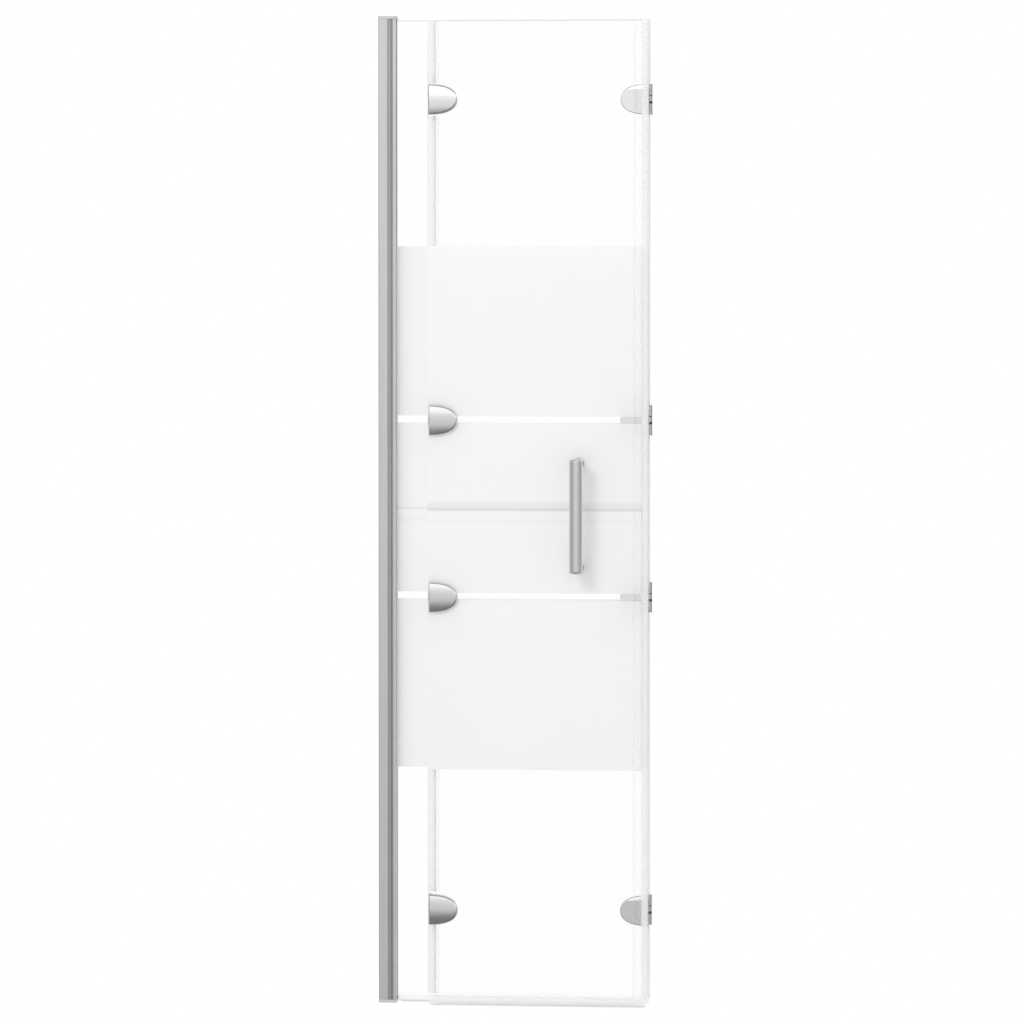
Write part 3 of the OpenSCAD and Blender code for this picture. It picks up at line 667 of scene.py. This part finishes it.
glass_pane("fixed_glass", FIXED_FROST_PAINTED_LIGHT, REAR_EDGE_PAINTED_SHADE, REAR_ARRIS_PAINTED_SHADE, REAR_ARRIS_PAINTED_SHADE)
glass_pane("middle_glass", MIDDLE_FROST_PAINTED_LIGHT, EDGE, ARRIS, TOP_ARRIS_PAINTED_REFLECTION)
glass_pane("last_glass", FROST, EDGE, ARRIS, TOP_ARRIS_PAINTED_REFLECTION)
for name in NODES:
    # Some plates take the brighter chrome, a painted reflection
    if name.startswith("last_cover_plate"):
        domed_cover(name, CHROME_PAINTED_BRIGHT if name in PAINTED_BRIGHT_PLATES else CHROME)
    elif name.startswith("middle_back_plate"):
        sloped_cover(name, CHROME_PAINTED_BRIGHT if name in PAINTED_BRIGHT_PLATES else CHROME)
    elif name in ("middle_clamp_plates", "fixed_clamp_plates"):
        eased_outside(name, CHROME, PLATE_EASE, segments=3)
    elif "_leaf_" in name:
        hinge_leaf(name)
# The posts take the darker satin chrome, which paints their shade
for name in ("upper_handle_post", "lower_handle_post"):
    eased(name, POST_PAINTED_SHADE, ROUND_EASE)
eased_outside("handle_backing_discs", SATIN, ROUND_EASE, segments=2)
for name in ("top_end_cap", "bottom_end_cap", "screw_caps"):
    eased(name, CAP, CAP_EASE, segments=3)
eased("wall_channel", ALUMINIUM, PROFILE_EASE)
glazing_profile()
for panel in ("fixed", "middle"):
    low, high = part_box(panel + "_bottom_seal")
    bottom_seal(panel + "_bottom_seal", panel + "_glass", low.x, high.x)
bottom_seal("last_bottom_seal", "last_glass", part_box("middle_glass")[0].x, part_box("last_glass")[1].x)
edge_seal("free_edge_seal", "last_glass", -1, BULB)
edge_seal("outer_fold_seal", "middle_glass", -1, BULB)
edge_seal("inner_fold_seal", "middle_glass", 1, MILKY)
handle_bar()

# Nodes that keep their CAD mesh
KEPT = {
    "outer_glazing_gasket": RUBBER, "inner_glazing_gasket": RUBBER,
    "outer_hinge_washers": BLACK, "inner_hinge_washers": BLACK,
    "outer_hinge_pins": STEEL, "inner_hinge_pins": STEEL, "clamp_screws": STEEL,
    "fixed_hinge_screws": STEEL, "middle_hinge_screws": STEEL, "last_hinge_screws": STEEL,
    "handle_screws": STEEL,
    "fixed_hinge_gaskets": FILM, "middle_hinge_gaskets": FILM, "last_hinge_gaskets": FILM,
    "handle_gaskets": FILM,
}
for name, material in KEPT.items():
    frame["nodes"][name].data.materials.clear()
    frame["nodes"][name].data.materials.append(material)


# ---- Floor, light and camera ----

def floor():
    """A pale round floor that fades into the white behind it."""
    bm = bmesh.new()
    bmesh.ops.create_circle(bm, cap_ends=True, segments=AROUND, radius=FLOOR_R)
    bmesh.ops.translate(bm, verts=bm.verts, vec=(MIDDLE_X, 0, RIM - BATH_H))
    mesh = bpy.data.meshes.new("floor")
    bm.to_mesh(mesh)
    bm.free()
    mat, g = new_material("floor")
    where = g.place()
    away = g.math("SQRT", g.math("ADD", g.math("POWER", g.math("SUBTRACT", where["X"], MIDDLE_X), 2.0),
                                g.math("POWER", where["Y"], 2.0)))
    lit = g.set(g.node("BsdfDiffuse"), Color=grey(0.86))
    glow = g.set(g.node("Emission"), Color=grey(1.0), Strength=1.0)
    ray = g.node("LightPath").outputs
    seen = g.math("MAXIMUM", ray["Is Camera Ray"], ray["Is Transmission Ray"])
    share = g.math("MULTIPLY", g.map(away, FADE_START, FADE_END, 0, 1, smooth=True), seen)
    g.finish(g.blend(share, lit.outputs[0], glow.outputs[0]))
    mesh.materials.append(mat)
    made = bpy.data.objects.new("floor", mesh)
    bpy.context.scene.collection.objects.link(made)
    made.visible_glossy = False


def studio():
    """A white backdrop behind the screen, and in its reflections a soft studio.

    The studio is white above, grey ahead and at the sides, and dark below straight ahead.
    """
    world = bpy.data.worlds.new("studio")
    bpy.context.scene.world = world
    g = Graph(world)
    way = g.set(g.node("SeparateXYZ"), Vector=g.node("TexCoord").outputs["Generated"]).outputs

    def level(axis, start, end, first, last):
        """A level that goes from first to last as the direction's part along axis goes from start to end."""
        return g.map(way[axis], start, end, first, last, smooth=True)

    # What rises from the dark floor to the white above
    rise = level("Z", -0.25, -0.06, 0.22, 0.765)
    ahead = level("Z", -0.025, 0.035, 0.0, 0.11)
    above = level("Z", 0.05, 0.135, 0.0, 0.4)
    # A lighter floor at the sides and at the back
    aside = g.math("MAXIMUM", level("X", -0.55, -0.3, 1, 0), level("X", 0.6, 0.75, 0, 1))
    side_glow = g.math("MULTIPLY", level("Z", -0.25, -0.06, 0.5, 0.0), aside)
    rear_glow = g.math("MULTIPLY", level("Z", -0.25, -0.06, 0.55, 0.0), level("Y", 0.15, 0.45, 0, 1))
    floor_glow = g.math("MAXIMUM", side_glow, rear_glow)
    height = g.math("ADD", g.math("ADD", rise, ahead), g.math("ADD", above, floor_glow))
    # Darker towards the zenith and towards both sides
    top = level("Z", 0.4, 0.7, 1.0, 0.36)
    sides = g.math("MULTIPLY", level("X", -0.85, -0.1, 0.6, 1.0), level("X", 0.3, 1.05, 1.0, 0.56))
    shown = g.math("MULTIPLY", g.math("MULTIPLY", height, top), sides)

    ray = g.node("LightPath").outputs
    light = g.map(ray["Is Glossy Ray"], 0, 1, level("Y", 0.0, 0.4, DAYLIGHT, 1.0), shown)
    behind = g.math("MULTIPLY", level("Y", 0.8, 0.98, 0, 1), ray["Is Glossy Ray"])
    seen = g.math("MAXIMUM", g.math("MAXIMUM", ray["Is Camera Ray"], ray["Is Transmission Ray"]), behind)
    plain = g.set(g.node("Background"), Color=grey(1.0), Strength=1.0)
    lit = g.set(g.node("Background"), Color=grey(1.0), Strength=light)
    out = g.node("OutputWorld")
    g.plug(out.inputs["Surface"], g.blend(seen, lit.outputs[0], plain.outputs[0]))


def lamp(name, at, target, size, power):
    data = bpy.data.lights.new(name, "AREA")
    data.shape = "DISK"
    data.size = size
    data.energy = power
    made = bpy.data.objects.new(name, data)
    made.location = at
    made.rotation_euler = (Vector(target) - Vector(at)).to_track_quat("-Z", "Y").to_euler()
    made.visible_glossy = False
    bpy.context.scene.collection.objects.link(made)


def camera():
    data = bpy.data.cameras.new("camera")
    data.lens = CAMERA_LENS
    data.sensor_width = SENSOR_W
    data.clip_end = CAMERA_REACH
    made = bpy.data.objects.new("camera", data)
    made.location = CAMERA_AT
    look = Vector(CAMERA_LOOKS_AT) - Vector(CAMERA_AT)
    made.rotation_euler = look.to_track_quat("-Z", "Y").to_euler()
    bpy.context.scene.collection.objects.link(made)
    bpy.context.scene.camera = made


floor()
studio()
lamp("window_left", at=(-1.0, -3.6, 2.0), target=(0.25, 0, 0), size=1.4, power=50)
camera()
bpy.context.scene.cycles.transparent_max_bounces = CLEAR_LAYERS
bpy.context.scene.view_settings.view_transform = "Standard"
